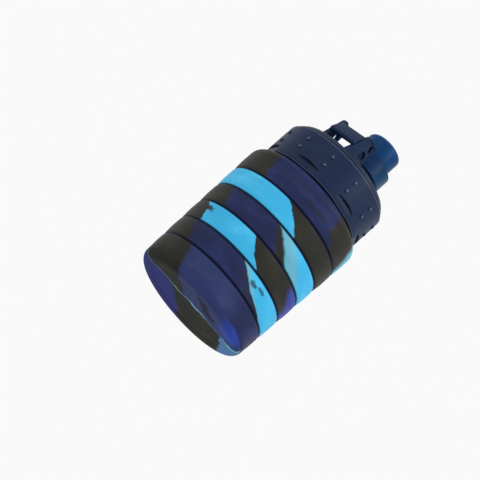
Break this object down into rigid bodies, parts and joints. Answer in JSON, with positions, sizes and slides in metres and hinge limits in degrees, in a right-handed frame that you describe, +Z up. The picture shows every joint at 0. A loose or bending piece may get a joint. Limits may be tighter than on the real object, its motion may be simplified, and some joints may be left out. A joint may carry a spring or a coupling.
{
  "type": "collapsible water bottle",
  "caption": "Collapsible drinking bottle: banded silicone body that presses down, screw lid with grip bumps, a carry loop and a twist-open spout.",
  "frame": {"origin": "middle of the flat base that the bottle stands on", "axes": "+Z up along the bottle's axis, +X from the carry loop towards the spout, +Y to the left seen from the loop's side"},
  "size_m": [0.0816, 0.0816, 0.1551],
  "materials": {
    "silicone_navy": "satin silicone, marbled navy, black and blue",
    "silicone_cyan": "satin silicone, marbled cyan, black and navy",
    "lid_plastic": "fine moulded texture",
    "knob_plastic": "satin, slightly translucent",
    "mouth_rubber": "satin, slightly translucent",
    "white_plastic": "natural, satin",
    "seal_rubber": "satin"
  },
  "bodies": {
    "base": {"silicone_base": "silicone_navy", "silicone_band_2": "silicone_navy"},
    "band_3": {"silicone_band_3": "silicone_cyan"},
    "band_4": {"silicone_band_4": "silicone_navy"},
    "band_5": {"silicone_band_5": "silicone_cyan"},
    "band_6": {"silicone_band_6": "silicone_navy"},
    "neck": {"silicone_neck": "silicone_navy", "neck_ring": "white_plastic", "clamp_ring": "lid_plastic"},
    "lid_seal": {"lid_gasket": "seal_rubber"},
    "lid": {"lid_collar": "lid_plastic", "lid_top": "lid_plastic", "carry_loop": "lid_plastic", "spout_stem": "lid_plastic", "valve_post": "white_plastic"},
    "spout_seal": {"spout_oring": "seal_rubber"},
    "spout": {"twist_knob": "knob_plastic", "mouthpiece": "mouth_rubber"}
  },
  "joints": [
    {"name": "body_collapse", "type": "slide", "parent": "base", "child": "neck", "axis": [0, 0, -1], "range_m": [0, 0.038], "deforming": ["silicone_band_2"]},
    {"name": "band_3_sinks", "type": "slide", "parent": "base", "child": "band_3", "axis": [0, 0, -1], "range_m": [0, 0.0077], "deforming": ["silicone_band_3"]},
    {"name": "band_4_sinks", "type": "slide", "parent": "base", "child": "band_4", "axis": [0, 0, -1], "range_m": [0, 0.0153], "deforming": ["silicone_band_4"]},
    {"name": "band_5_sinks", "type": "slide", "parent": "base", "child": "band_5", "axis": [0, 0, -1], "range_m": [0, 0.0229], "deforming": ["silicone_band_5"]},
    {"name": "band_6_sinks", "type": "slide", "parent": "base", "child": "band_6", "axis": [0, 0, -1], "range_m": [0, 0.0305], "deforming": ["silicone_band_6"]},
    {"name": "lid_rises", "type": "slide", "parent": "neck", "child": "lid_seal", "axis": [0, 0, 1], "range_m": [0, 0.0045]},
    {"name": "lid_unscrews", "type": "hinge", "parent": "lid_seal", "child": "lid", "pos_m": [0, 0, 0.1], "axis": [0, 0, 1], "range_deg": [0, 300]},
    {"name": "spout_rises", "type": "slide", "parent": "lid", "child": "spout_seal", "axis": [0, 0, 1], "range_m": [0, 0.0036]},
    {"name": "spout_twists", "type": "hinge", "parent": "spout_seal", "child": "spout", "pos_m": [0.0139, 0, 0.139], "axis": [0, 0, 1], "range_deg": [0, 120]}
  ],
  "couplings": [
    {"joint": "band_3_sinks", "follows": "body_collapse", "ratio": 0.2},
    {"joint": "band_4_sinks", "follows": "body_collapse", "ratio": 0.4},
    {"joint": "band_5_sinks", "follows": "body_collapse", "ratio": 0.6},
    {"joint": "band_6_sinks", "follows": "body_collapse", "ratio": 0.8},
    {"joint": "lid_unscrews", "follows": "lid_rises", "rad_per_m": 1163.5},
    {"joint": "spout_twists", "follows": "spout_rises", "rad_per_m": 581.7}
  ]
}
